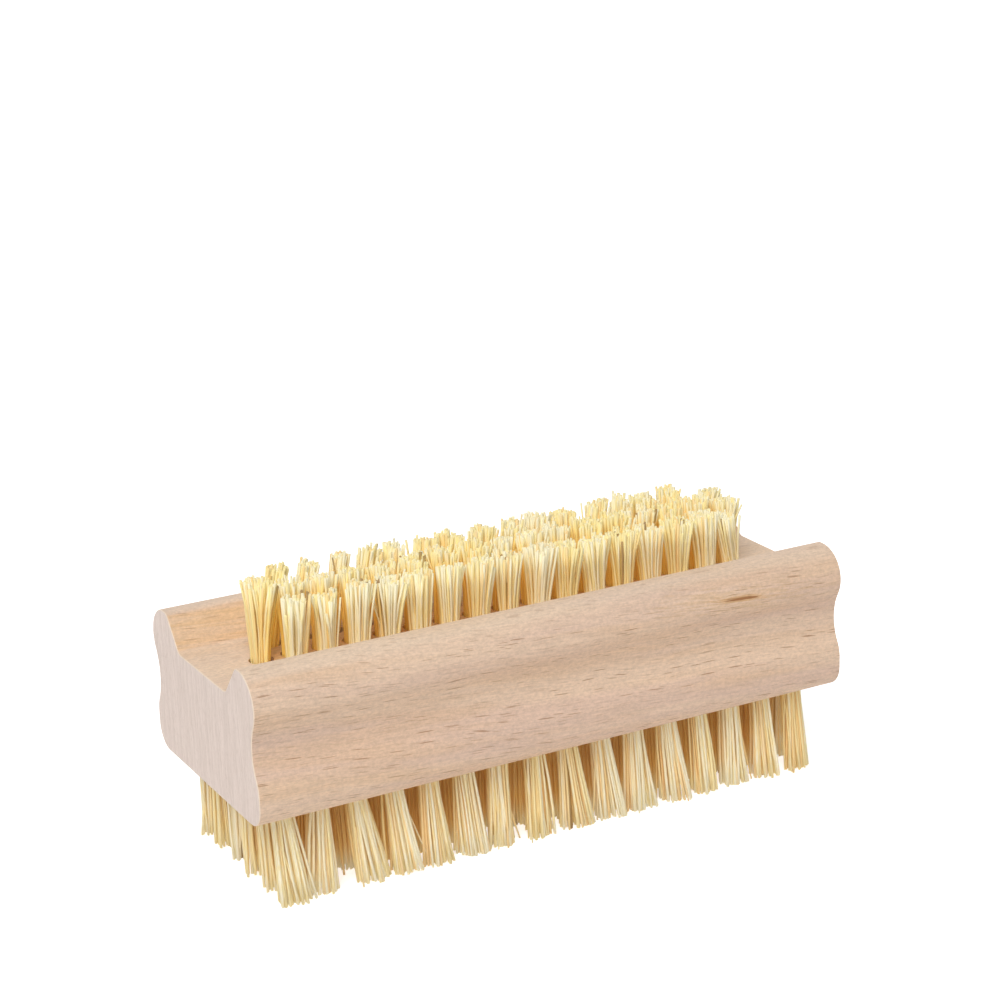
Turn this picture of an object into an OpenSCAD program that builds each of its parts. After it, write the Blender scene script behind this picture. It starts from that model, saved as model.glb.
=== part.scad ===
// Two-sided wooden nail brush: one moulded beech block with a shallow channel along its top,
// three rows of short tufts standing in the channel and six rows of longer tufts underneath.
// Each tuft is folded into a blind bore and held down by a flat wire anchor.
// X runs along the block, Y across it and Z up. The brush stands on its lower tufts at Z = 0.

/* [Block] */
// Length of the block between its sawn ends
block_length = 95; // [80:1:130]
// Width of the block over its lobes
block_width = 36.4; // [34:0.2:46]
// Height of the block from underside to rails
block_height = 21.9; // [20:0.1:30]
// Depth of the finger groove along each long side
grip_depth = 1.6; // [0.8:0.1:2.4]
// Radius of the lobe above the finger groove
upper_lobe_r = 4.6; // [4:0.1:5.2]
// Radius of the lobe below the finger groove
lower_lobe_r = 5; // [4:0.1:5.5]
// Radius of the corner between the side and the underside
lower_corner_r = 3.4; // [1.5:0.1:3.8]

/* [Channel] */
// Width of the flat channel floor, with its fillets
channel_floor_width = 16.8; // [15:0.1:20]
// Width of the channel between the rails at the top
channel_top_width = 24.8; // [23:0.1:26]
// Depth of the channel below the rails
channel_depth = 4.85; // [3:0.05:6]
// Radius of the fillet along the foot of each channel wall
channel_fillet_r = 1.5; // [0.4:0.1:1.8]
// Radius of the rounded inner edge of each rail
rail_edge_r = 1.4; // [0.3:0.1:1.7]

/* [Top tufts] */
// Distance between tufts along a row
top_pitch = 4.81; // [4.7:0.01:5.6]
// Least distance from the end of the block to the middle of the first tuft
top_end_margin = 8.8; // [6:0.1:14]
// Channel floor left free on each side of the slices of the outer rows
top_side_margin = 1.2; // [0.8:0.1:2]
// How far the front row is drilled off the middle of the block, along it
front_row_shift = 0.6; // [-1.2:0.1:1.2]
// How far the back row is drilled off the middle of the block, along it
back_row_shift = 1.2; // [-1.2:0.1:1.2]
// Diameter of each bore
top_bore_d = 3.6; // [3:0.1:3.8]
// Depth of each bore below the channel floor
top_bore_depth = 6.5; // [5:0.1:7]
// Free length of the tufts above the channel floor
top_free_length = 10.45; // [7:0.05:16]

/* [Bottom tufts] */
// Distance between tufts along a row
bottom_pitch = 5.62; // [5.2:0.01:6.4]
// Least distance from the end of the block to the middle of the first tuft
bottom_end_margin = 5.2; // [4:0.1:8]
// Flat underside left free on each side of the slices of the outer rows
bottom_side_margin = 0.1; // [0.1:0.1:0.8]
// Diameter of each bore
bottom_bore_d = 3.6; // [3:0.1:3.8]
// Depth of each bore above the underside
bottom_bore_depth = 7; // [5:0.1:7.2]
// Free length of the tufts below the underside
bottom_free_length = 13.5; // [9:0.1:20]
// How much wider apart the rows are at their cut ends, as a share of their distance at the wood
bottom_splay_share = 0.04; // [0.02:0.01:0.12]

/* [Strands] */
// Thickness of the slice of wood that each row of tufts is bonded to
slice_thickness = 0.8; // [0.5:0.1:1.5]
// Wood left between the end tuft of a row and the end of its slice
slice_end_margin = 0.8; // [0.4:0.1:1]
// Wood left between the tufts of a row and the sides of its slice
slice_side_margin = 0.1; // [0.1:0.05:0.2]
// Height difference between the longest and the shortest strand of a cut end
ragged_height = 0.8; // [0:0.1:1.2]
// Depth that the lower strands are cut flat where the brush stands on them
stand_cut = 0.5; // [0.3:0.1:0.8]
// Largest sideways lean of a tuft at its cut end
tuft_lean = 0.2; // [0:0.05:0.3]
// Least gap between neighbouring tufts at their cut ends
tuft_gap = 0.2; // [0.1:0.05:0.4]

/* [Anchors] */
// Thickness of the flat anchor wire
anchor_thickness = 0.35; // [0.25:0.05:0.5]
// Width of the anchor wire, which is the height of the anchor in its bore
anchor_height = 1.8; // [1.2:0.1:2.5]
// How far each end of an anchor bites into the wood beside its bore
anchor_bite = 0.3; // [0.15:0.05:0.4]
// Thickness of the folded fibres under an anchor
fold_thickness = 0.9; // [0.5:0.1:1.5]

/* [Fits] */
// Clearance between a root or an anchor and the wood around it
fit_gap = 0.05; // [0.02:0.01:0.1]

/* [Hidden] */

$fn = 48;
// Length that a cut runs past the face it opens
overrun = 1;
// How far a cutting arc goes past the curve that it blends into, so that the two truly cross
blend_overlap = 0.01;
top_rows = 3;
bottom_rows = 6;

// Angle of half a strand round the axis of its tuft; three strands make a tuft
strand_half_angle = 46;
strands_per_tuft = 3;
// Inner edge of a strand, as a share of the radius of its tuft
strand_core_share = 0.12;
// Seed of the small differences between tufts, with room for the tufts of one row
tuft_seed = 7;
seeds_per_row = 100;

// Heights
underside_z = bottom_free_length;
rail_z = underside_z + block_height;
floor_z = rail_z - channel_depth;
top_tip_z = floor_z + top_free_length;

// Centres of the arcs of the long sides, from the middle of the block and its underside
half_width = block_width / 2;
lower_lobe = [half_width - lower_lobe_r, lower_lobe_r];
upper_lobe = [half_width - upper_lobe_r, block_height - upper_lobe_r];
lower_corner = [half_width - lower_corner_r, lower_corner_r];
lobe_rise = upper_lobe[1] - lower_lobe[1];
grip_rise = (lobe_rise - 2 * grip_depth * (upper_lobe_r - lower_lobe_r) / lobe_rise) / 2;
grip_r = (grip_rise * grip_rise + grip_depth * grip_depth) / (2 * grip_depth) - lower_lobe_r;
grip = [half_width - grip_depth + grip_r, lower_lobe[1] + grip_rise];

// Channel wall, from its foot on the floor to its head at the rails
wall_foot = [channel_floor_width / 2, block_height - channel_depth];
wall_head = [channel_top_width / 2, block_height];
wall_lean = atan2(wall_head[0] - wall_foot[0], channel_depth);

// Distances between rows and numbers of tufts, from the wood that carries them; the outer rows
// on top stand between the tufts of the middle row and have one less
top_slice_width = top_bore_d + 2 * slice_side_margin;
bottom_slice_width = bottom_bore_d + 2 * slice_side_margin;
top_field = channel_floor_width - 2 * (top_side_margin + fit_gap);
bottom_field = 2 * (lower_corner[0] - bottom_side_margin - fit_gap);
top_row_pitch = (top_field - top_slice_width) / (top_rows - 1);
bottom_row_pitch = (bottom_field - bottom_slice_width) / (bottom_rows - 1);
top_row_shifts = [front_row_shift, 0, back_row_shift];
top_tufts = floor((block_length - 2 * top_end_margin) / top_pitch) + 1;
bottom_tufts = floor((block_length - 2 * bottom_end_margin) / bottom_pitch) + 1;

// Radius of a tuft at its cut end, as wide as its neighbours allow
top_tip_r = (min(top_pitch, top_row_pitch) - tuft_gap) / 2 - tuft_lean;
bottom_tip_r =
    (min(bottom_pitch, bottom_row_pitch * (1 + bottom_splay_share)) - tuft_gap) / 2 - tuft_lean;

// A tuft's place: row r and tuft i of n, for a given pitch and distance between rows
function tuft_x(i, n, pitch) = (i - (n - 1) / 2) * pitch;
function row_y(r, rows, pitch) = (r - (rows - 1) / 2) * pitch;
function slice_length(n, pitch, bore_d) = (n - 1) * pitch + bore_d + 2 * slice_end_margin;

// Row r on top: its number of tufts, and the middle of its tuft i and of its whole slice
function top_count(r) = top_tufts - (r + 1) % 2;
function top_y(r) = row_y(r, top_rows, top_row_pitch);
function top_at(r, i) = [tuft_x(i, top_count(r), top_pitch) + top_row_shifts[r], top_y(r)];
function top_middle(r) = [top_row_shifts[r], top_y(r), floor_z];
function top_slice(r) =
    [slice_length(top_count(r), top_pitch, top_bore_d), top_slice_width, slice_thickness];

// The same for row r underneath, where all rows are alike
function bottom_y(r) = row_y(r, bottom_rows, bottom_row_pitch);
function bottom_at(r, i) = [tuft_x(i, bottom_tufts, bottom_pitch), bottom_y(r)];
function bottom_middle(r) = [0, bottom_y(r), underside_z];
bottom_slice =
    [slice_length(bottom_tufts, bottom_pitch, bottom_bore_d), bottom_slice_width, slice_thickness];

// Half of the moulded side, drawn in Y and Z from the middle of the underside
module side_half() {
    difference() {
        union() {
            polygon([[0, 0], [lower_corner[0], 0], lower_corner, [half_width, lower_corner[1]],
                     [half_width, lower_lobe[1]], lower_lobe, grip, upper_lobe,
                     [upper_lobe[0], block_height], [0, block_height]]);
            translate(lower_corner) circle(lower_corner_r);
            translate(lower_lobe) circle(lower_lobe_r);
            translate(upper_lobe) circle(upper_lobe_r);
        }
        translate(grip) circle(grip_r + blend_overlap);
    }
}

// The sliver between a corner and an arc that is tangent to both of its sides: the corner is at
// the origin, one side runs along +X and the other turns away from it by the given angle
module corner_sliver(radius, angle) {
    reach = radius / tan(angle / 2);
    difference() {
        polygon([[0, 0], [reach, 0], [reach, radius], reach * [cos(angle), sin(angle)]]);
        translate([reach, radius]) circle(radius + blend_overlap);
    }
}

// Half of the channel, with a filleted foot and a rounded rail edge
module channel_half() {
    difference() {
        polygon([[0, wall_foot[1]], wall_foot, wall_head,
                 [wall_head[0], block_height + overrun], [0, block_height + overrun]]);
        translate(wall_foot) mirror([1, 0]) corner_sliver(channel_fillet_r, 90 + wall_lean);
    }
    translate(wall_head) mirror([0, 1]) corner_sliver(rail_edge_r, 90 + wall_lean);
}

module block_section() {
    for (side = [0, 1]) mirror([side, 0]) difference() {
        side_half();
        channel_half();
    }
}

// One straight blind bore, from the level of a slice to the folded end of a root
module root(d, depth) {
    translate([0, 0, -depth]) cylinder(d = d, h = depth - slice_thickness + fit_gap);
}

// The anchor of one bore, with its middle on the axis; the mouth of the bore is at Z = 0
module anchor(bore_d, depth, gap) {
    size = [bore_d + 2 * anchor_bite + 2 * gap, anchor_thickness + 2 * gap, anchor_height + 2 * gap];
    translate([-size[0] / 2, -size[1] / 2, fold_thickness - depth - gap]) cube(size);
}

// Puts its children, made for a bore that opens upwards, at each tuft of a row
module top_row(r) {
    for (i = [0 : top_count(r) - 1]) translate(concat(top_at(r, i), floor_z)) children();
}

// The same for a bore that opens downwards
module bottom_row(r) {
    for (i = [0 : bottom_tufts - 1])
        translate(concat(bottom_at(r, i), underside_z)) mirror([0, 0, 1]) children();
}

// The slice of wood under a row of tufts, and with its gap the recess that it lies in; the mouths
// of the bores are at Z = 0
module slice(size, gap = 0, over = 0) {
    translate([-size[0] / 2 - gap, -size[1] / 2 - gap, -size[2]])
        cube([size[0] + 2 * gap, size[1] + 2 * gap, size[2] + over]);
}

// The four corners of a strand's cross-section, counterclockwise seen from above: one near the
// axis of the tuft and three on its outside
function strand_section(centre, r, turn, z) = [
    for (corner = [[strand_core_share, 0], [1, -strand_half_angle], [1, 0], [1, strand_half_angle]])
        [centre[0] + corner[0] * r * cos(turn + corner[1]),
         centre[1] + corner[0] * r * sin(turn + corner[1]), z]];

// A strand between two parallel cross-sections, the lower one first
module strand(low, high) {
    sides = [for (i = [0 : 3]) let (j = (i + 1) % 4) each [[i, i + 4, j + 4], [i, j + 4, j]]];
    polyhedron(points = concat(low, high),
               faces = concat([[0, 1, 2], [0, 2, 3], [4, 7, 6], [4, 6, 5]], sides));
}

// The turn of strand k of tuft i round the tuft's axis, and how far its end lies behind the
// longest strands
function strand_turn(i, k) = (i % 2) * 180 / strands_per_tuft + k * 360 / strands_per_tuft;
function cut_drop(r, i, k) = ((r + 2 * i + k) % 3) / 2 * ragged_height;

// The sideways lean of tuft i of row r at its cut end
function lean(r, i) =
    rands(-1, 1, 2, tuft_seed + r * seeds_per_row + i) / sqrt(2) * tuft_lean;

module block() {
    color("burlywood") difference() {
        translate([-block_length / 2, 0, underside_z]) rotate([90, 0, 90])
            linear_extrude(block_length) block_section();
        for (r = [0 : top_rows - 1]) {
            translate(top_middle(r)) slice(top_slice(r), fit_gap, overrun);
            top_row(r) {
                root(top_bore_d, top_bore_depth);
                anchor(top_bore_d, top_bore_depth, fit_gap);
            }
        }
        for (r = [0 : bottom_rows - 1]) {
            translate(bottom_middle(r)) mirror([0, 0, 1]) slice(bottom_slice, fit_gap, overrun);
            bottom_row(r) {
                root(bottom_bore_d, bottom_bore_depth);
                anchor(bottom_bore_d, bottom_bore_depth, fit_gap);
            }
        }
    }
}

module top_tufts_row(r) {
    color("palegoldenrod") {
        translate(top_middle(r)) slice(top_slice(r));
        difference() {
            top_row(r) root(top_bore_d - 2 * fit_gap, top_bore_depth);
            top_row(r) anchor(top_bore_d, top_bore_depth, fit_gap);
        }
        for (i = [0 : top_count(r) - 1], k = [0 : strands_per_tuft - 1])
            strand(strand_section(top_at(r, i), top_bore_d / 2 - fit_gap, strand_turn(i, k),
                                  floor_z - slice_thickness / 2),
                   strand_section(top_at(r, i) + lean(r, i), top_tip_r, strand_turn(i, k),
                                  top_tip_z - cut_drop(r, i, k)));
    }
}

module bottom_tufts_row(r) {
    color("khaki") {
        translate(bottom_middle(r)) mirror([0, 0, 1]) slice(bottom_slice);
        difference() {
            bottom_row(r) root(bottom_bore_d - 2 * fit_gap, bottom_bore_depth);
            bottom_row(r) anchor(bottom_bore_d, bottom_bore_depth, fit_gap);
        }
        for (i = [0 : bottom_tufts - 1], k = [0 : strands_per_tuft - 1])
            let (at = bottom_at(r, i),
                 tip = [at[0], at[1] * (1 + bottom_splay_share)] + lean(r + top_rows, i))
            strand(strand_section(tip, bottom_tip_r, strand_turn(i, k),
                                  max(0, cut_drop(r, i, k) - stand_cut)),
                   strand_section(at, bottom_bore_d / 2 - fit_gap, strand_turn(i, k),
                                  underside_z + slice_thickness / 2));
    }
}

module top_anchors_row(r) {
    color("silver") top_row(r) anchor(top_bore_d, top_bore_depth, 0);
}

module bottom_anchors_row(r) {
    color("silver") bottom_row(r) anchor(bottom_bore_d, bottom_bore_depth, 0);
}

block();
top_tufts_row(0);  // top_tufts_front
top_tufts_row(1);  // top_tufts_middle
top_tufts_row(2);  // top_tufts_back
bottom_tufts_row(0);  // bottom_tufts_1
bottom_tufts_row(1);  // bottom_tufts_2
bottom_tufts_row(2);  // bottom_tufts_3
bottom_tufts_row(3);  // bottom_tufts_4
bottom_tufts_row(4);  // bottom_tufts_5
bottom_tufts_row(5);  // bottom_tufts_6
top_anchors_row(0);  // top_anchors_front
top_anchors_row(1);  // top_anchors_middle
top_anchors_row(2);  // top_anchors_back
bottom_anchors_row(0);  // bottom_anchors_1
bottom_anchors_row(1);  // bottom_anchors_2
bottom_anchors_row(2);  // bottom_anchors_3
bottom_anchors_row(3);  // bottom_anchors_4
bottom_anchors_row(4);  // bottom_anchors_5
bottom_anchors_row(5);  // bottom_anchors_6
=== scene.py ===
import math

import bpy
import numpy as np
from mathutils import Matrix, Vector


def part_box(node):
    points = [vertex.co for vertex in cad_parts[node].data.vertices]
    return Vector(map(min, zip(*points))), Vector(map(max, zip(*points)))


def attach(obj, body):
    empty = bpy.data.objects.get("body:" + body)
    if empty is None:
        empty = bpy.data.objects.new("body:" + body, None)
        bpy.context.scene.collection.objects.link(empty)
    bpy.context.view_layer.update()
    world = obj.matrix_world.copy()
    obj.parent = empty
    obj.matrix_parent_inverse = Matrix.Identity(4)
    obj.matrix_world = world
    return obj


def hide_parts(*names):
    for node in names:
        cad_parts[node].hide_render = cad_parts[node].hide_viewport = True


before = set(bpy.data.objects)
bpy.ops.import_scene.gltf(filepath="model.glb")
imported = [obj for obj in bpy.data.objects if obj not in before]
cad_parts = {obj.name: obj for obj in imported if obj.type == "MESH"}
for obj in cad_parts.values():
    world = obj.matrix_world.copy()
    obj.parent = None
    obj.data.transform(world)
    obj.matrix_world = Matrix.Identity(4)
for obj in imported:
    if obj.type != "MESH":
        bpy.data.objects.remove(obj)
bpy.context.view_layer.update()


# The camera stands to the left in front of the brush and a little above it, as in the
# photograph. Its place and turns were found from the edges of the wooden block.
CAMERA_PLACE = (-0.1609, -0.2994, 0.1555)
CAMERA_YAW, CAMERA_PITCH, CAMERA_ROLL = 28.26, 17.7, -1.74
FOCAL_LENGTH, SENSOR_WIDTH = 89.0, 36.0
NEAREST, FARTHEST = 0.01, 20

camera_turn = (Matrix.Rotation(math.radians(-CAMERA_YAW), 4, "Z")
               @ Matrix.Rotation(math.radians(90 - CAMERA_PITCH), 4, "X")
               @ Matrix.Rotation(math.radians(CAMERA_ROLL), 4, "Z"))
bpy.ops.object.camera_add(location=CAMERA_PLACE, rotation=camera_turn.to_euler())
camera = bpy.context.object
camera.name = "photograph_view"
camera.data.lens = FOCAL_LENGTH
camera.data.sensor_width = SENSOR_WIDTH
camera.data.clip_start, camera.data.clip_end = NEAREST, FARTHEST
bpy.context.scene.camera = camera


# The block: one piece of beech, run past a moulding cutter that leaves a groove for the fingers
# along each side and a channel along the top, sawn to length and bored from both faces.
LOWER_CORNER_R, LOWER_LOBE_R, UPPER_LOBE_R = 0.0034, 0.0050, 0.0046
GRIP_DEPTH = 0.0016
CHANNEL_FLOOR_WIDTH, CHANNEL_TOP_WIDTH, CHANNEL_DEPTH = 0.0168, 0.0248, 0.00485
CHANNEL_FILLET_R, RAIL_EDGE_R = 0.0015, 0.0014
SAWN_EDGE = 0.00028
BORE_R = 0.0018
TOP_BORE_DEPTH, BOTTOM_BORE_DEPTH = 0.0065, 0.0070
ANCHOR_BITE = 0.0003
DRILL_OVERRUN = 0.001
QUARTER_TURN = math.radians(90)
SMOOTH_ANGLE = math.radians(28)
END_FACING = 0.9

block_low, block_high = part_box("block")
half_width = block_high.y
underside, rail_top = block_low.z, block_high.z
channel_floor = rail_top - CHANNEL_DEPTH


def start_at(x, y, z):
    """A primitive melted down to one point, ready to be drawn out in edit mode."""
    bpy.ops.object.select_all(action="DESELECT")
    bpy.ops.mesh.primitive_plane_add(size=SAWN_EDGE, location=(x, y, z))
    bpy.ops.object.transform_apply()
    bpy.ops.object.mode_set(mode="EDIT")
    bpy.ops.mesh.merge(type="CENTER")
    return bpy.context.object


def draw_line(y, z):
    """Draws the outline on by a straight step."""
    bpy.ops.mesh.extrude_region_move(TRANSFORM_OT_translate={"value": (0, y, z)})


def draw_arc(centre_y, centre_z, angle, steps):
    """Draws the outline on round a centre, anticlockwise seen with Y to the right and Z up."""
    bpy.ops.mesh.spin(steps=steps, angle=-angle, center=(block_low.x, centre_y, centre_z),
                      axis=(1, 0, 0))


def apply_modifier(piece, kind, **settings):
    """Adds a modifier to a piece with its settings, and applies it."""
    bpy.context.view_layer.objects.active = piece
    modifier = piece.modifiers.new(kind.lower(), kind)
    for name, value in settings.items():
        setattr(modifier, name, value)
    bpy.ops.object.modifier_apply(modifier=modifier.name)


# Half of the outline, from the middle of the channel's floor round the side to the middle of
# the underside; the wall of the channel leans outwards, and every arc runs on into the next.
floor_half, head_half = CHANNEL_FLOOR_WIDTH / 2, CHANNEL_TOP_WIDTH / 2
wall_lean = math.atan2(head_half - floor_half, CHANNEL_DEPTH)
turn = QUARTER_TURN - wall_lean
reach_foot = CHANNEL_FILLET_R * math.tan(turn / 2)
reach_head = RAIL_EDGE_R * math.tan(turn / 2)
wall_run = CHANNEL_DEPTH / math.cos(wall_lean) - reach_foot - reach_head

upper_lobe = Vector((half_width - UPPER_LOBE_R, rail_top - UPPER_LOBE_R))
lower_lobe = Vector((half_width - LOWER_LOBE_R, underside + LOWER_LOBE_R))
lobe_rise = upper_lobe.y - lower_lobe.y
grip_rise = (lobe_rise - 2 * GRIP_DEPTH * (UPPER_LOBE_R - LOWER_LOBE_R) / lobe_rise) / 2
grip_r = (grip_rise ** 2 + GRIP_DEPTH ** 2) / (2 * GRIP_DEPTH) - LOWER_LOBE_R
grip = Vector((half_width - GRIP_DEPTH + grip_r, lower_lobe.y + grip_rise))
upper_swing = math.atan2(upper_lobe.y - grip.y, grip.x - upper_lobe.x)
lower_swing = math.atan2(grip.y - lower_lobe.y, grip.x - lower_lobe.x)

block = start_at(block_low.x, 0, channel_floor)
block.name = "beech_block"
draw_line(floor_half - reach_foot, 0)
draw_arc(floor_half - reach_foot, channel_floor + CHANNEL_FILLET_R, turn, steps=5)
draw_line(wall_run * math.sin(wall_lean), wall_run * math.cos(wall_lean))
draw_arc(head_half + reach_head, rail_top - RAIL_EDGE_R, -turn, steps=6)
draw_line(upper_lobe.x - head_half - reach_head, 0)
draw_arc(*upper_lobe, -QUARTER_TURN - upper_swing, steps=18)
draw_arc(*grip, upper_swing + lower_swing, steps=14)
draw_arc(*lower_lobe, -lower_swing, steps=6)
draw_line(0, underside + LOWER_CORNER_R - lower_lobe.y)
draw_arc(half_width - LOWER_CORNER_R, underside + LOWER_CORNER_R, -QUARTER_TURN, steps=12)
draw_line(LOWER_CORNER_R - half_width, 0)
bpy.ops.object.mode_set(mode="OBJECT")

# The other half is the same; the outline is filled and drawn out to the length of the block,
# and the edges that the saw left are eased with a little sandpaper.
apply_modifier(block, "MIRROR", use_axis=(False, True, False), use_clip=True)
bpy.ops.object.mode_set(mode="EDIT")
bpy.ops.mesh.select_all(action="SELECT")
bpy.ops.mesh.edge_face_add()
bpy.ops.mesh.extrude_region_move(
    TRANSFORM_OT_translate={"value": (block_high.x - block_low.x, 0, 0)})
bpy.ops.mesh.select_all(action="SELECT")
bpy.ops.mesh.normals_make_consistent(inside=False)
bpy.ops.mesh.select_mode(type="FACE")
bpy.ops.mesh.select_all(action="DESELECT")
bpy.ops.object.mode_set(mode="OBJECT")
for face in block.data.polygons:
    face.select = abs(face.normal.x) > END_FACING
bpy.ops.object.mode_set(mode="EDIT")
bpy.ops.mesh.region_to_loop()
bpy.ops.mesh.bevel(offset=SAWN_EDGE, segments=3, profile=0.6)
bpy.ops.object.mode_set(mode="OBJECT")

# One drill for each face of the block, copied to every bore. The anchors lie across the bores,
# so the box of a row of anchors gives the middles of the first and the last bore of the row.
TOP_ROWS = {"front": 16, "middle": 17, "back": 16}
BOTTOM_ROWS = {str(number): 16 for number in range(1, 7)}


def bore_middles(anchor_node, tufts):
    """The middles of the bores of one row, from left to right, as X and Y."""
    low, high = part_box(anchor_node)
    inset = BORE_R + ANCHOR_BITE
    first, last = low.x + inset, high.x - inset
    return [Vector((first + (last - first) * place / (tufts - 1), (low.y + high.y) / 2))
            for place in range(tufts)]


top_bores = {row: bore_middles("top_anchors_" + row, tufts) for row, tufts in TOP_ROWS.items()}
bottom_bores = {row: bore_middles("bottom_anchors_" + row, tufts)
                for row, tufts in BOTTOM_ROWS.items()}


def drill(depth):
    """A drill bit as long as a bore is deep and a little more, with its middle at the origin."""
    bpy.ops.object.select_all(action="DESELECT")
    bpy.ops.mesh.primitive_cylinder_add(vertices=28, radius=BORE_R, depth=depth + DRILL_OVERRUN)
    return bpy.context.object


bits = []
for bores, mouth, depth, way in ((top_bores, channel_floor, TOP_BORE_DEPTH, 1),
                                 (bottom_bores, underside, BOTTOM_BORE_DEPTH, -1)):
    bit = drill(depth)
    middle_z = mouth + way * (DRILL_OVERRUN - depth) / 2
    for middle in [m for row in bores.values() for m in row]:
        copy = bit.copy()
        copy.data = bit.data.copy()
        copy.location = (middle.x, middle.y, middle_z)
        bpy.context.collection.objects.link(copy)
        bits.append(copy)
    bpy.data.objects.remove(bit)
bpy.ops.object.select_all(action="DESELECT")
for bit in bits:
    bit.select_set(True)
bpy.context.view_layer.objects.active = bits[0]
bpy.ops.object.join()
bpy.ops.object.transform_apply()
drills = bpy.context.object
apply_modifier(block, "BOOLEAN", operation="DIFFERENCE", object=drills, solver="EXACT")
bpy.data.objects.remove(drills)

bpy.ops.object.select_all(action="DESELECT")
block.select_set(True)
bpy.context.view_layer.objects.active = block
bpy.ops.object.transform_apply()
bpy.ops.object.shade_smooth_by_angle(angle=SMOOTH_ANGLE)
apply_modifier(block, "WEIGHTED_NORMAL", keep_sharp=True, weight=60)


# Finishes are built of patterns measured in millimetres, on noise that stays almost all within
# one range.
MM = 1000.0
NOISE_RANGE = (0.3, 0.7)


def new_material(name):
    """An empty finish with its shader joined to the output."""
    material = bpy.data.materials.new(name)
    material.use_nodes = True
    tree = material.node_tree
    return material, tree, tree.nodes["Principled BSDF"]


def fill_sockets(tree, node, **inputs):
    """Gives inputs of a node a value or another node's output; i0 is the first one, and so on."""
    for name, value in inputs.items():
        socket = node.inputs[int(name[1:]) if name[1:].isdigit() else name.replace("_", " ")]
        if isinstance(value, bpy.types.NodeSocket):
            tree.links.new(value, socket)
        else:
            socket.default_value = value


def add_node(tree, kind, settings=(), **inputs):
    """A shader node with its settings and inputs."""
    node = tree.nodes.new("ShaderNode" + kind)
    for name, value in dict(settings).items():
        setattr(node, name, value)
    fill_sockets(tree, node, **inputs)
    return node


def mix(tree, amount, below, above, blend="MIX"):
    """The colour above laid over the colour below."""
    settings = {"data_type": "RGBA", "blend_type": blend}
    return add_node(tree, "Mix", settings, i0=amount, i6=below, i7=above).outputs[2]


def ramp(tree, value, low, high, to_low=0.0, to_high=1.0):
    """A smooth step from low to high."""
    return add_node(tree, "MapRange", {"interpolation_type": "SMOOTHSTEP"}, Value=value,
                    From_Min=low, From_Max=high, To_Min=to_low, To_Max=to_high).outputs[0]


def sum_of(tree, *values, way="ADD"):
    """All the values added together, or put together in another way."""
    total = values[0]
    for value in values[1:]:
        total = add_node(tree, "Math", {"operation": way}, i0=total, i1=value).outputs[0]
    return total


def product_of(tree, *values):
    """All the values multiplied together."""
    return sum_of(tree, *values, way="MULTIPLY")


def size_of(tree, value):
    """The value without its sign."""
    return add_node(tree, "Math", {"operation": "ABSOLUTE"}, i0=value).outputs[0]


def scaled(tree, steps, vector):
    """The place measured in steps of so many millimetres along, across and up."""
    return add_node(tree, "Mapping", i0=vector, Scale=[MM / step for step in steps]).outputs[0]


def noise(tree, steps, vector, detail=2.0, roughness=0.5):
    """Blots of about the size of the steps, as a value and as a colour."""
    return add_node(tree, "TexNoise", i0=scaled(tree, steps, vector), Scale=1.0, Detail=detail,
                    Roughness=roughness).outputs


def emboss(tree, shader, strength, depth, height):
    """Joins a fine relief to the shader."""
    bump = add_node(tree, "Bump", Strength=strength, Distance=depth, Height=height)
    fill_sockets(tree, shader, Normal=bump.outputs[0])


# Beech seen from three sides. Along the grain it shows its rays as short dark dashes, over broad
# pinkish and tan bands; its sawn ends are greyer, with the growth rings as upright streaks.
PALE_BEECH = (0.755, 0.555, 0.405, 1)
PINK_BEECH, BANDS = (0.69, 0.495, 0.38, 1), ((75, 7, 5), 3, (0.38, 0.62))
TAN_BEECH, TAN_BANDS = (0.71, 0.485, 0.315, 1), ((42, 5, 3.2), 2, (0.45, 0.68))
TAN_SHARE = 0.6
GRAIN_SLANT = math.radians(-4.5)
WANDER_STEPS, WANDER = (16, 12, 9), (0.0, 0.0012, 0.0016)
FINE_GRAIN, FINE_DETAIL, FINE_ROUGHNESS = (6, 0.35, 0.27), 3, 0.6
MOTTLE, MOTTLE_DETAIL, MOTTLE_ROUGHNESS = (0.6, 0.4, 0.34), 3, 0.7
STREAK_RANGE, STREAK_TINTS = (0.35, 0.65), (0.945, 1.04)
MOTTLE_TINTS = (0.90, 1.08)
WOOD_ROUGHNESS = (0.52, 0.66)

beech, tree, shader = new_material("bare_beech")
coordinates = add_node(tree, "TexCoord").outputs
spot = add_node(tree, "SeparateXYZ", Vector=coordinates["Object"]).outputs
facing = add_node(tree, "SeparateXYZ", Vector=coordinates["Normal"]).outputs
slant = add_node(tree, "VectorRotate", {"rotation_type": "Y_AXIS"}, Vector=coordinates["Object"],
                 Angle=GRAIN_SLANT).outputs[0]
wander = add_node(tree, "VectorMath", {"operation": "MULTIPLY_ADD"},
                  i0=noise(tree, WANDER_STEPS, slant)[1], i1=WANDER, i2=slant).outputs[0]


def pattern(kind, vector, to_low=0.0, to_high=1.0):
    """A pattern of the wood, from its steps, its detail and where it sets in and is full."""
    steps, detail, limits = kind
    return ramp(tree, noise(tree, steps, vector, detail)[0], *limits, to_low, to_high)


fine = noise(tree, FINE_GRAIN, wander, FINE_DETAIL, FINE_ROUGHNESS)[0]
mottle = noise(tree, MOTTLE, coordinates["Object"], MOTTLE_DETAIL, MOTTLE_ROUGHNESS)[0]
colour = mix(tree, pattern(BANDS, wander), PALE_BEECH, PINK_BEECH)
colour = mix(tree, product_of(tree, pattern(TAN_BANDS, wander), TAN_SHARE), colour, TAN_BEECH)

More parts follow.
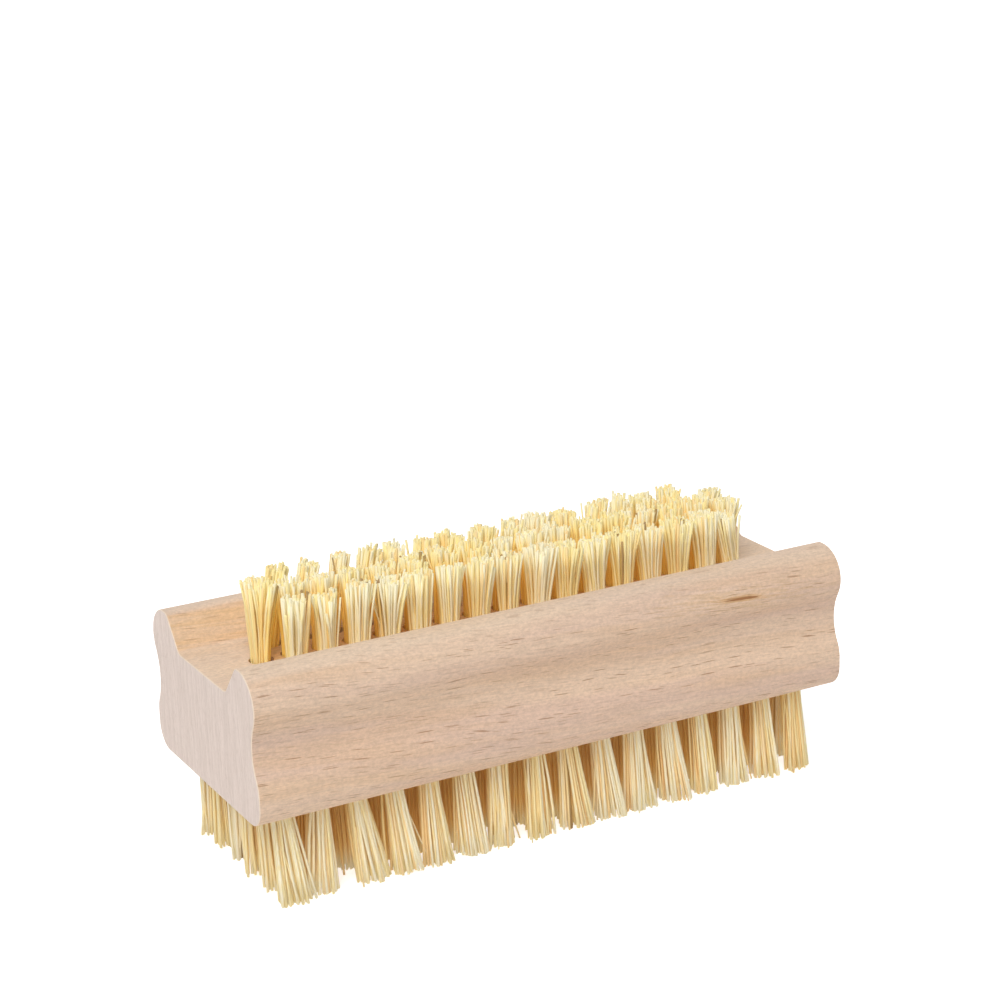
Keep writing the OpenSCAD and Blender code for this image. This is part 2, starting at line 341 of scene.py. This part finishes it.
# Painted shade makes the walls of the channel a darker tan, streaked by the marks of the cutter;
# painted light makes the wood that faces up paler, on the floor of the channel and the flat of the
# rails; and a warm painted shade, for the light that comes through the tufts, darkens the wood between
# them.
WALL_SHADE_TAN, WALL_SHADE_SHARE, WALL_FACING = (0.75, 0.50, 0.28, 1), 0.85, (0.50, 0.75)
WALL_FADE_OUT, WALL_FADE_UP = 0.0002, 0.0004
CUTTER_MARKS, CUTTER_SHARES = ((20, 3, 0.7), 2, (0.35, 0.65)), (0.45, 1.0)
UPWARD_LIGHT, UPWARD_LIGHT_SHARE, UPWARD_FACING = (0.79, 0.63, 0.47, 1), 0.45, (0.68, 0.95)
TUFT_SHADE_BROWN, TUFT_SHADE_SHARE = (0.66, 0.40, 0.15, 1), 0.75
TUFT_SHADE_ENDS, TUFT_SHADE_SIDES = (0.0365, 0.0385), (0.0068, 0.0078)

# Painted shade: the inward walls of the channel turn a darker tan, broken up by the cutter marks.
wall_shade = product_of(tree, ramp(tree, size_of(tree, facing[1]), *WALL_FACING),
                    ramp(tree, size_of(tree, spot[1]), head_half, head_half + WALL_FADE_OUT, 1.0, 0.0),
                    ramp(tree, spot[2], channel_floor, channel_floor + WALL_FADE_UP))
cutter = pattern(CUTTER_MARKS, slant, *CUTTER_SHARES)
colour = mix(tree, product_of(tree, wall_shade, cutter, WALL_SHADE_SHARE), colour, WALL_SHADE_TAN)
# Painted light: wood that faces up is made paler.
flat = ramp(tree, facing[2], *UPWARD_FACING)
colour = mix(tree, product_of(tree, flat, UPWARD_LIGHT_SHARE), colour, UPWARD_LIGHT)
# Painted shade: the wood among the tufts turns a darker orange-brown, as under light that comes through
# the fibres.
tuft_shade = product_of(tree, ramp(tree, size_of(tree, spot[0]), *TUFT_SHADE_ENDS, 1.0, 0.0),
                   ramp(tree, size_of(tree, spot[1]), *TUFT_SHADE_SIDES, 1.0, 0.0),
                   ramp(tree, spot[2], rail_top, rail_top - CHANNEL_DEPTH / 2))
colour = mix(tree, product_of(tree, tuft_shade, TUFT_SHADE_SHARE), colour, TUFT_SHADE_BROWN)

# A small brown fleck in the grain on the front side, with an amber and a golden patch round it:
# for each, its length, depth and height in millimetres, and how much it covers the wood.
MARK_PLACE = (0.02714, -0.0173, 0.03370)
MARK_RAGGED, MARK_EDGE = 0.50, (0.45, 1.0)
MARK_PATCHES = (((15, 6, 1.9), 0.38, (0.70, 0.46, 0.24, 1)),
                ((6.0, 4, 0.55), 0.60, (0.62, 0.34, 0.13, 1)),
                ((3.6, 4, 0.24), 0.85, (0.30, 0.12, 0.035, 1)))

mark = add_node(tree, "VectorMath", {"operation": "SUBTRACT"}, i0=slant, i1=MARK_PLACE).outputs[0]
rough = ramp(tree, fine, *NOISE_RANGE, -MARK_RAGGED, MARK_RAGGED)
for patch_size, share, stain in MARK_PATCHES:
    away = add_node(tree, "VectorMath", {"operation": "LENGTH"}, i0=scaled(tree, patch_size, mark))
    patch = ramp(tree, sum_of(tree, away.outputs["Value"], rough), *MARK_EDGE, 1.0, 0.0)
    colour = mix(tree, product_of(tree, patch, share), colour, stain)

# Fine streaks and mottling, and the rays: dashes of uneven size and darkness that taper off at
# their ends, and are fainter where the wood faces up.
RAY_BROWN = (0.32, 0.165, 0.08, 1)
RAY_CELL, RAY_CORE = (4.7, 0.85, 0.25), 0.55
RAY_SIZES, RAY_DEPTHS, RAY_DEPTH_RANGE = (0.20, 0.38), (0.20, 0.74), (0.05, 0.95)
RAY_FACING, RAY_SHARE_ON_TOP = (0.40, 0.85), 0.35
RAY_RELIEF = -0.8

tint = product_of(tree, ramp(tree, fine, *STREAK_RANGE, *STREAK_TINTS),
                  ramp(tree, mottle, *NOISE_RANGE, *MOTTLE_TINTS))
colour = mix(tree, 1.0, colour, tint, "MULTIPLY")
cells = add_node(tree, "TexVoronoi", {"feature": "F1"}, i0=scaled(tree, RAY_CELL, wander),
                 Scale=1.0).outputs
cell_mix = add_node(tree, "SeparateColor", Color=cells["Color"]).outputs
ray_size = ramp(tree, cell_mix[0], 0.0, 1.0, *RAY_SIZES)
ray = ramp(tree, cells["Distance"], product_of(tree, ray_size, RAY_CORE), ray_size, 1.0, 0.0)
ray = product_of(tree, ray, ramp(tree, cell_mix[1], *RAY_DEPTH_RANGE, *RAY_DEPTHS),
                 ramp(tree, facing[2], *RAY_FACING, 1.0, RAY_SHARE_ON_TOP))
colour = mix(tree, ray, colour, RAY_BROWN)

# The sawn ends: growth rings, the marks of the saw and open pores, all as streaks of one colour.
# The edge round them, which the sandpaper eased, carries a painted highlight in light cream.
SAWN_BEECH, SAWN_STREAK = (0.80, 0.67, 0.60, 1), (0.60, 0.48, 0.41, 1)
GROWTH_RINGS, RING_SHARE = ((60, 0.85, 14), 2, (0.42, 0.60)), 0.25
SAW_MARKS, SAW_SHARE = ((3, 0.16, 5), 2, (0.40, 0.66)), 0.42
PORES, PORE_SHARE = ((2, 0.25, 0.9), 2, (0.50, 0.70)), 0.40
SAWN_FACING = (0.55, 0.85)
EDGE_HIGHLIGHT, EDGE_HIGHLIGHT_SHARE = (0.88, 0.76, 0.60, 1), 0.5
EDGE_FACING_FROM, EDGE_FACING_TO = (0.15, 0.45), (0.80, 0.97)

end_colour = SAWN_BEECH
for kind, vector, share in ((GROWTH_RINGS, wander, RING_SHARE),
                            (SAW_MARKS, coordinates["Object"], SAW_SHARE),
                            (PORES, coordinates["Object"], PORE_SHARE)):
    end_colour = mix(tree, product_of(tree, pattern(kind, vector), share), end_colour, SAWN_STREAK)
endwise = size_of(tree, facing[0])
colour = mix(tree, ramp(tree, endwise, *SAWN_FACING), colour, end_colour)
# Painted highlight: a light cream band on the eased edge round the sawn ends.
edge_highlight = product_of(tree, ramp(tree, endwise, *EDGE_FACING_FROM),
                   ramp(tree, endwise, *EDGE_FACING_TO, EDGE_HIGHLIGHT_SHARE, 0.0))
colour = mix(tree, edge_highlight, colour, EDGE_HIGHLIGHT)

fill_sockets(tree, shader, Base_Color=colour, Specular_IOR_Level=0.35,
             Roughness=ramp(tree, fine, *NOISE_RANGE, *WOOD_ROUGHNESS))
relief = sum_of(tree, ramp(tree, fine, *NOISE_RANGE), ramp(tree, ray, 0.0, 1.0, 0.0, RAY_RELIEF))
emboss(tree, shader, strength=0.35, depth=0.00006, height=relief)

block.data.materials.clear()
block.data.materials.append(beech)
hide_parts("block")
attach(block, "root")


# The anchors: short pieces of flat steel wire, one across each bore. They are cut from a drawn
# strip and driven in with the fold of a tuft under them, and bite into the wood at both ends.
DULL_STEEL, BRIGHT_STEEL = (0.42, 0.41, 0.39, 1), (0.66, 0.65, 0.62, 1)
DRAW_LINES = (4, 0.08, 0.08)
STEEL_ROUGHNESS = (0.28, 0.48)

wire, tree, shader = new_material("drawn_flat_wire")
drawn = noise(tree, DRAW_LINES, add_node(tree, "TexCoord").outputs["Object"])[0]
fill_sockets(tree, shader, Base_Color=mix(tree, drawn, DULL_STEEL, BRIGHT_STEEL), Metallic=1.0,
             Roughness=ramp(tree, drawn, *NOISE_RANGE, *STEEL_ROUGHNESS))
emboss(tree, shader, strength=0.4, depth=0.00002, height=drawn)
anchor_nodes = ["top_anchors_" + row for row in TOP_ROWS]
anchor_nodes += ["bottom_anchors_" + row for row in BOTTOM_ROWS]
for node in anchor_nodes:
    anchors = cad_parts[node].data
    anchors.materials.clear()
    anchors.materials.append(wire)


# The tufts: stiff natural fibres, each folded in half like a hairpin round the foot of its
# anchor, both legs standing out of the bore, spreading a little and cut off together.
TUFT_SEED = 11
FIBRES, SPARE_LEGS = 29, 6
FIBRE_R, FIBRE_SIZES, FIBRE_FLATNESS = 0.00022, (0.72, 1.25), (0.72, 1.0)
GOLDEN_ANGLE = math.radians(137.508)
LEG_SCATTER, TIP_SCATTER, BEND = 0.00004, 0.00018, 0.00012
FLARE_RANGE = (0.88, 1.12)
CLUMPS, CLUMP_SHIFT = 7, 0.00030
SPLIT_LINE_SCATTER = 0.25
STRAY_SHARE, STRAY_REACH, STRAY_THINNING = 0.05, 0.0010, 0.75
TUFT_RAGGED, FIBRE_RAGGED = 0.35, 0.6
SHORT_SHARE, SHORT_STEPS = 0.05, (2, 7)
CUT_SLOPE = 0.25
TUFT_TONE, TUFT_TONE_SCATTER, FIBRE_TONE_SCATTER = 0.5, 0.16, 0.24
SHADE_DEPTH, SHADE_CURVE, TIP_REACH = 0.0050, 0.7, 0.0070

# Each leg of a hairpin has six rings of corners: three over the mouth of the bore, at these shares
# of its length, one in the mouth, one at its waist beside the anchor, and one at the fold. Its
# place at the waist and at the fold is given as shares of its place in the mouth, along the row
# and across it.
RINGS = 12
LEG_SHARES = (1.0, 0.68, 0.36)
WAIST, FOLD = (0.8, 0.55), (0.7, 0.3)
WAIST_DEPTH, FOLD_SINK, FOLD_RISE = 0.55, 0.00022, 0.25
ANCHOR_GAP = 0.00034


def fibre_blank():
    """A straight four-sided fibre, one unit long, with a cut at the place of every bend."""
    bpy.ops.object.select_all(action="DESELECT")
    bpy.ops.mesh.primitive_cylinder_add(vertices=4, radius=1, depth=1, location=(0, 0, 0.5))
    bpy.ops.object.transform_apply()
    bpy.ops.object.mode_set(mode="EDIT")
    for cut in range(1, RINGS - 1):
        bpy.ops.mesh.select_all(action="SELECT")
        bpy.ops.mesh.bisect(plane_co=(0, 0, cut / (RINGS - 1)), plane_no=(0, 0, 1))
    bpy.ops.object.mode_set(mode="OBJECT")
    return bpy.context.object


blank = fibre_blank()
blank_points = np.empty(len(blank.data.vertices) * 3)
blank.data.vertices.foreach_get("co", blank_points)
blank_points = blank_points.reshape(-1, 3)
blank_ring = np.rint(blank_points[:, 2] * (RINGS - 1)).astype(int)
blank_faces = [list(face.vertices) for face in blank.data.polygons]
blank_cuts = np.array([len({blank_ring[corner] for corner in face}) == 1 for face in blank_faces])
bpy.data.objects.remove(blank)


def bundle(girth, chance):
    """The places of the legs of a tuft in the mouth of its bore: pairs, front leg and back leg."""
    number = np.arange(2 * FIBRES + SPARE_LEGS)
    radius = girth * np.sqrt((number + 0.5) / len(number))
    angle = number * GOLDEN_ANGLE + chance.uniform(0, 2 * math.pi)
    legs = np.stack([radius * np.cos(angle), radius * np.sin(angle)], 1)
    legs += chance.normal(0, LEG_SCATTER, legs.shape)
    front = legs[legs[:, 1] < 0]
    back = legs[legs[:, 1] >= 0]
    front, back = front[np.argsort(front[:, 0])], back[np.argsort(back[:, 0])]
    count = min(len(front), len(back), FIBRES)
    return np.stack([front[:count], back[:count]], 1)


def grow_row(name, bores, face, lengths, spread, split, leans, chance):
    """One row of tufts as a single piece."""
    girth, ragged, depth = face["girth"], face["ragged"], face["depth"]
    paths, widths, hues = [], [], []
    for middle, tuft_length, lean in zip(bores, lengths, leans, strict=True):
        pairs = bundle(girth, chance)
        count = len(pairs)
        flare = np.array(spread) * chance.uniform(*FLARE_RANGE)
        clump_middles = chance.uniform(-girth, girth, (CLUMPS, 2))
        clump_shifts = chance.normal(0, CLUMP_SHIFT, (CLUMPS, 2))
        split_line = chance.normal(0, girth * SPLIT_LINE_SCATTER)
        clump_shifts[:, 0] += np.sign(clump_middles[:, 0] - split_line) * split
        clump_lengths = chance.normal(0, ragged, CLUMPS)
        tuft_length += chance.normal(0, ragged * TUFT_RAGGED)
        shade = chance.normal(TUFT_TONE, TUFT_TONE_SCATTER)
        width = FIBRE_R * chance.uniform(*FIBRE_SIZES, count)
        path = np.zeros((count, RINGS, 3))
        for side, rings in enumerate((range(RINGS // 2), range(RINGS - 1, RINGS // 2 - 1, -1))):
            *leg_rings, mouth_ring, waist_ring, fold_ring = rings
            leg = pairs[:, side]
            off = np.abs(leg[:, 1])
            gaps = np.linalg.norm(leg[:, None] - clump_middles[None], axis=2)
            clump = gaps.argmin(1)
            tip = leg * flare + clump_shifts[clump]
            tip += chance.normal(0, TIP_SCATTER, leg.shape)
            stray = chance.random(count) < STRAY_SHARE
            tip[stray] += chance.normal(0, STRAY_REACH, (int(stray.sum()), 2))
            width[stray] *= STRAY_THINNING
            length = tuft_length + clump_lengths[clump] + chance.normal(0, ragged * FIBRE_RAGGED, count)
            short = chance.random(count) < SHORT_SHARE
            length -= short * chance.uniform(*SHORT_STEPS, count) * ragged
            bend = chance.normal(0, BEND, (count, 2))
            for ring, share in zip(leg_rings, LEG_SHARES):
                bow = bend * math.sin(math.pi * share)
                path[:, ring, :2] = leg + (tip - leg) * share ** face["opening"] + bow
                path[:, ring, :2] += lean * share
                path[:, ring, 2] = length * share
            path[:, mouth_ring, :2] = leg
            for ring, (along, across) in ((waist_ring, WAIST), (fold_ring, FOLD)):
                path[:, ring, 0] = leg[:, 0] * along
                path[:, ring, 1] = (-1, 1)[side] * (ANCHOR_GAP + off * across)
            path[:, waist_ring, 2] = -depth * WAIST_DEPTH
            path[:, fold_ring, 2] = -depth + FOLD_SINK + off * FOLD_RISE
        path[:, :, 0] += middle.x
        path[:, :, 1] += middle.y
        path[:, :, 2] = face["mouth"] + face["way"] * path[:, :, 2]
        paths.append(path)
        widths.append(width)
        tone = np.clip(chance.normal(shade, FIBRE_TONE_SCATTER, count), 0, 1)
        hues.append(np.stack([tone, chance.random(count)], 1))
    cut_z = face["mouth"] + face["way"] * lengths[PLAIN_TUFT]
    return make_row(name, np.concatenate(paths), np.concatenate(widths), np.concatenate(hues),
                    face["field"], cut_z, chance)


def make_row(name, path, width, hue, field, cut_z, chance):
    """Copies of the blank, bent along their paths and joined."""
    count = len(path)
    run = np.gradient(path, axis=1)
    run /= np.linalg.norm(run, axis=2, keepdims=True)
    across = np.array([1.0, 0, 0]) - run * run[:, :, :1]
    across /= np.linalg.norm(across, axis=2, keepdims=True)
    other = np.cross(run, across)
    spin = chance.uniform(0, 2 * math.pi, count)[:, None]
    flat = chance.uniform(*FIBRE_FLATNESS, count)[:, None]
    u = blank_points[None, :, 0] * np.cos(spin) - blank_points[None, :, 1] * np.sin(spin)
    v = (blank_points[None, :, 0] * np.sin(spin) + blank_points[None, :, 1] * np.cos(spin)) * flat
    u, v = u * width[:, None], v * width[:, None]
    points = path[:, blank_ring] + u[..., None] * across[:, blank_ring]
    points += v[..., None] * other[:, blank_ring]
    cut = chance.normal(0, CUT_SLOPE, (count, 2, 1))
    ends = ((blank_ring == 0) | (blank_ring == RINGS - 1))[None]
    points += np.where(ends, u * cut[:, 0] + v * cut[:, 1], 0.0)[..., None] * run[:, blank_ring]
    points[..., 2] = np.maximum(points[..., 2], 0.0)

    mesh = bpy.data.meshes.new(name)
    corners = np.concatenate([np.array(face) for face in blank_faces])
    sizes = np.array([len(face) for face in blank_faces])
    shift = np.arange(count)[:, None] * len(blank_points)
    mesh.vertices.add(count * len(blank_points))
    mesh.vertices.foreach_set("co", points.astype(np.float32).ravel())
    mesh.loops.add(count * len(corners))
    mesh.loops.foreach_set("vertex_index", (corners[None] + shift).astype(np.int32).ravel())
    mesh.polygons.add(count * len(sizes))
    starts = np.concatenate([[0], np.cumsum(np.tile(sizes, count))[:-1]])
    mesh.polygons.foreach_set("loop_start", starts.astype(np.int32))
    mesh.polygons.foreach_set("use_smooth", np.tile(~blank_cuts, count))
    mesh.update(calc_edges=True)
    mesh.validate()

    # The finish reads from each corner: the fibre's tone, how rare its colour is, how far the corner
    # lies inside the tufts, which sets the painted shade, and how near the cut, which sets the painted
    # glow.
    inside = np.minimum(points[..., :2] - field[0], field[1] - points[..., :2]).min(2)
    under = np.abs(points[..., 2] - cut_z)
    in_shade = np.clip(inside / SHADE_DEPTH, 0, 1) * np.clip(under / SHADE_DEPTH, 0, 1) ** SHADE_CURVE
    end = 1 - np.clip(under / TIP_REACH, 0, 1)
    colours = np.concatenate([np.repeat(hue[:, None], len(blank_points), 1), in_shade[..., None],
                              end[..., None]], 2)
    marks = mesh.attributes.new("fibre", "FLOAT_COLOR", "POINT")
    marks.data.foreach_set("color", colours.astype(np.float32).ravel())
    piece = bpy.data.objects.new(name, mesh)
    bpy.context.collection.objects.link(piece)
    return piece


# The tufts on top open like fans, stand up unevenly and lean along the channel; those underneath
# are longer and cut level, and their rows spread a little apart.
TOP_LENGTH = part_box("top_tufts_middle")[1].z - channel_floor
BOTTOM_SHORT = 0.0001
BOTTOM_LENGTH = underside - BOTTOM_SHORT
TOP_SPREAD = {"front": (1.78, 1.40), "middle": (1.66, 1.40), "back": (1.18, 1.28)}
TOP_SPLIT = {"front": 0.0, "middle": 0.0001, "back": 0.0001}
TOP_EXTRA = {"front": -0.0004, "middle": 0.0001, "back": 0.0004}
BOTTOM_SPREAD = (1.70, 1.08)
SPLAY_SHARE = 0.04
TUFT_TIP_R = 0.0024
PLAIN_TUFT = 1

# How far, in tenths of a millimetre, the tip of each tuft leans to the right of its bore.
TENTH = 0.0001
TOP_LEANS = {
    "front": (4, 4, 6, 4, 3, 2, 5, 4, 5, 4, 1, 1, 0, -1, 0, -20),
    "middle": (5, 2, 2, 3, 5, 1, 2, 4, 6, 3, 0, 2, 4, 2, -1, -2, 5),
    "back": (15, 18, 26, 25, 13, 10, 4, 13, 14, 7, 2, 19, 13, -1, -6, 24),
}
BOTTOM_LEANS = {
    "1": (11, 1, 18, 14, 11, 10, 4, 4, 15, 19, 12, 15, 11, 13, 13, 10),
    "2": (14, 2, 9, 6, 3, 8, 6, 2, 4, 5, 1, 6, 8, 3, 5, -2),
    "3": (13, 6, 4, 8, 2, 5, 9, 6, 1, 3, 7, 4, 2, 6, 1, 0),
    "4": (15, 3, 8, 5, 6, 2, 4, 7, 3, 6, 2, 8, 5, 1, 3, 2),
    "5": (9, 5, 2, 7, 4, 6, 3, 1, 8, 4, 6, 2, 5, 7, 2, 0),
    "6": (8, 4, 6, 3, 7, 2, 5, 4, 6, 2, 5, 3, 7, 4, 3, 1),
}

# How much longer the cut left a few tufts on top than the rest of their row, by row and place;
# the plain tuft of every row, its second, is not among them.
TRIMS = {("middle", 0): 0.0009, ("middle", 16): -0.0010, ("back", 15): -0.0013,
         ("front", 15): -0.0008}


def tufted_field(rows, splay):
    """The corners of the patch that the cut ends of all the rows of one face cover, as X and Y."""
    middles = np.array([tuple(middle) for bores in rows.values() for middle in bores])
    middles[:, 1] *= 1 + splay
    return middles.min(0) - TUFT_TIP_R, middles.max(0) + TUFT_TIP_R


def lean_of(tenths, sideways, chance):
    """The leans of the tufts of one row, as X and Y, with a little chance in them."""
    leans = chance.normal(0, TENTH, (len(tenths), 2))
    leans[:, 0] += np.array(tenths) * TENTH
    leans[:, 1] += sideways
    return leans


top_face = {"mouth": channel_floor, "way": 1, "depth": TOP_BORE_DEPTH, "girth": 0.00140,
            "opening": 1.6, "ragged": 0.00028, "field": tufted_field(top_bores, 0)}
bottom_face = {"mouth": underside, "way": -1, "depth": BOTTOM_BORE_DEPTH, "girth": 0.00152,
               "opening": 1.12, "ragged": 0.00009, "field": tufted_field(bottom_bores, SPLAY_SHARE)}
chance = np.random.default_rng(TUFT_SEED)
tuft_rows = {}
for row, bores in top_bores.items():
    lengths = [TOP_LENGTH + TOP_EXTRA[row] + TRIMS.get((row, place), 0) for place in range(len(bores))]
    leans = lean_of(TOP_LEANS[row], 0, chance)
    tuft_rows["top_tufts_" + row] = grow_row("top_fibres_" + row, bores, top_face, lengths,
                                             TOP_SPREAD[row], TOP_SPLIT[row], leans, chance)
for row, bores in bottom_bores.items():
    leans = lean_of(BOTTOM_LEANS[row], bores[0].y * SPLAY_SHARE, chance)
    tuft_rows["bottom_tufts_" + row] = grow_row("bottom_fibres_" + row, bores, bottom_face,
                                                [BOTTOM_LENGTH] * len(bores), BOTTOM_SPREAD, 0.0,
                                                leans, chance)


# The fibre's own colour runs from cream to straw, and tan or brown on a few. Further inside the tufts,
# away from the cut and the edges of the tufted patch, a warm orange painted shade stands in for the
# light that comes through the fibres, so they are palest at the cut.
FIBRE_BLOTS, TONE_DRIFT = (0.22, 0.22, 2.4), 0.25
STRAW_TONES = (0.25, 0.8)
TAN_RARITY, TAN_DEPTH = (0.80, 0.95), 0.7
BROWN_FIBRE, BROWN_SHARE, BROWN_DEPTH = (0.30, 0.17, 0.07, 1), 0.012, 0.8
SHARP_STEP = 0.0001
SHADE_RANGE, SHADE_SHARE = (0.05, 0.95), 0.85
FIBRE_ROUGHNESS = (0.5, 0.68)
FIBRE_GLOW, DIM_GLOW = 0.10, (0.30, 0.30, 0.30, 1)

tones = bpy.data.node_groups.new("fibre_tones", "ShaderNodeTree")
for way, socket, kind in (("INPUT", "Pale", "Color"), ("INPUT", "Straw", "Color"),
                          ("INPUT", "Tan", "Color"), ("INPUT", "Root", "Color"),
                          ("INPUT", "Tip Glow", "Float"), ("OUTPUT", "Colour", "Color"),
                          ("OUTPUT", "Glow", "Color"), ("OUTPUT", "Roughness", "Float"),
                          ("OUTPUT", "Ridges", "Float")):
    tones.interface.new_socket(socket, in_out=way, socket_type="NodeSocket" + kind)
given = tones.nodes.new("NodeGroupInput").outputs
marks = add_node(tones, "Attribute", {"attribute_type": "GEOMETRY", "attribute_name": "fibre"})
tone, rarity, in_shade = add_node(tones, "SeparateColor", Color=marks.outputs["Color"]).outputs
grown = noise(tones, FIBRE_BLOTS, add_node(tones, "TexCoord").outputs["Object"])[0]

tone = sum_of(tones, tone, ramp(tones, grown, *NOISE_RANGE, -TONE_DRIFT, TONE_DRIFT))
colour = mix(tones, ramp(tones, tone, *STRAW_TONES), given["Pale"], given["Straw"])
colour = mix(tones, ramp(tones, rarity, *TAN_RARITY, 0.0, TAN_DEPTH), colour, given["Tan"])
brown = ramp(tones, rarity, 1 - BROWN_SHARE, 1 - BROWN_SHARE + SHARP_STEP, 0.0, BROWN_DEPTH)
colour = mix(tones, brown, colour, BROWN_FIBRE)
# Painted shade: inside the tufts the colour turns warm orange, in place of light that comes through the
# fibres.
colour = mix(tones, ramp(tones, in_shade, *SHADE_RANGE, 0.0, SHADE_SHARE), colour, given["Root"])
# Painted light: the fibres glow faintly in their own colour, most near the cut, in place of light that
# passes through them.
end = product_of(tones, marks.outputs["Alpha"], given["Tip Glow"])
glow = mix(tones, end, mix(tones, 1.0, colour, DIM_GLOW, "MULTIPLY"), colour)
fill_sockets(tones, tones.nodes.new("NodeGroupOutput"), Colour=colour, Glow=glow, Ridges=grown,
             Roughness=ramp(tones, grown, *NOISE_RANGE, *FIBRE_ROUGHNESS))


def fibre_finish(name, **tints):
    """The finish of the fibres of one face of the brush."""
    material, tree, shader = new_material(name)
    fibre = add_node(tree, "Group", {"node_tree": tones}, **tints).outputs
    fill_sockets(tree, shader, Base_Color=fibre["Colour"], Roughness=fibre["Roughness"],
                 Emission_Color=fibre["Glow"], Emission_Strength=FIBRE_GLOW,
                 Specular_IOR_Level=0.1)
    emboss(tree, shader, strength=0.3, depth=0.00003, height=fibre["Ridges"])
    return material


top_finish = fibre_finish("straw_fibre", Pale=(0.94, 0.87, 0.62, 1), Straw=(0.94, 0.81, 0.41, 1),
                          Tan=(0.92, 0.65, 0.27, 1), Root=(1.00, 0.72, 0.16, 1), Tip_Glow=0.2)
bottom_finish = fibre_finish("cream_fibre", Pale=(0.95, 0.88, 0.66, 1), Straw=(0.94, 0.80, 0.45, 1),
                             Tan=(0.91, 0.63, 0.29, 1), Root=(0.88, 0.60, 0.20, 1), Tip_Glow=0.7)
for node, piece in tuft_rows.items():
    piece.data.materials.append(top_finish if node.startswith("top") else bottom_finish)
    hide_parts(node)
    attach(piece, "root")


# A plain white sheet under the brush and soft light from above, the front and the left. The
# sheet and the room look white to the camera but light the brush less; the sheet is a little
# dimmer near the brush, and see-through from below.
SHEET_SIZE, SHEET_GREY = 30, (0.88, 0.88, 0.88, 1)
NEAR_SHEET, NEAR_GLOW = (0.3, 1.2), 0.62
SHEET_LIGHT, ROOM_LIGHT = 0.12, 0.27
WHITE = (1, 1, 1, 1)


def in_sight(tree):
    """Whether the camera sees this, straight, in a reflection or through glass."""
    rays = add_node(tree, "LightPath").outputs
    return sum_of(tree, rays["Is Camera Ray"], rays["Is Glossy Ray"], rays["Is Transmission Ray"],
                  way="MAXIMUM")


bpy.ops.object.select_all(action="DESELECT")
bpy.ops.mesh.primitive_plane_add(size=SHEET_SIZE, location=(0, 0, 0))
floor = bpy.context.object
floor.name = "white_floor"
sheet, tree, shader = new_material("white_sheet")
away = add_node(tree, "VectorMath", {"operation": "LENGTH"},
                i0=add_node(tree, "TexCoord").outputs["Object"])
glow = ramp(tree, away.outputs["Value"], *NEAR_SHEET, NEAR_GLOW, 1.0)
glow = add_node(tree, "Mix", {"data_type": "FLOAT"}, i0=in_sight(tree), i2=SHEET_LIGHT, i3=glow)
fill_sockets(tree, shader, Base_Color=SHEET_GREY, Roughness=0.9, Emission_Color=WHITE,
             Emission_Strength=glow.outputs[0])
under = add_node(tree, "NewGeometry").outputs["Backfacing"]
clear = add_node(tree, "BsdfTransparent").outputs[0]
surface = add_node(tree, "MixShader", i0=under, i1=shader.outputs[0], i2=clear).outputs[0]
fill_sockets(tree, tree.nodes["Material Output"], Surface=surface)
floor.data.materials.append(sheet)

room = bpy.data.worlds.new("white_room")
bpy.context.scene.world = room
room.use_nodes = True
tree = room.node_tree
fill_sockets(tree, tree.nodes["Background"], Color=WHITE,
             Strength=ramp(tree, in_sight(tree), 0.0, 1.0, ROOM_LIGHT, 1.0))

# Each lamp: its place, the side of its square and its power. All face the brush.
LAMPS = {
    "window": ((-0.6, -0.6, 1.1), 1.0, 15.5),
    "back": ((0.4, 0.9, 0.8), 1.4, 2.4),
}
for name, (lamp_place, side, power) in LAMPS.items():
    bpy.ops.object.light_add(type="AREA", location=lamp_place)
    lamp = bpy.context.object
    lamp.name = name
    lamp.data.size = side
    lamp.data.energy = power
    lamp.rotation_euler = (-Vector(lamp_place)).to_track_quat("-Z", "Y").to_euler()

bpy.context.scene.view_settings.view_transform = "Standard"
bpy.context.scene.cycles.diffuse_bounces = 10
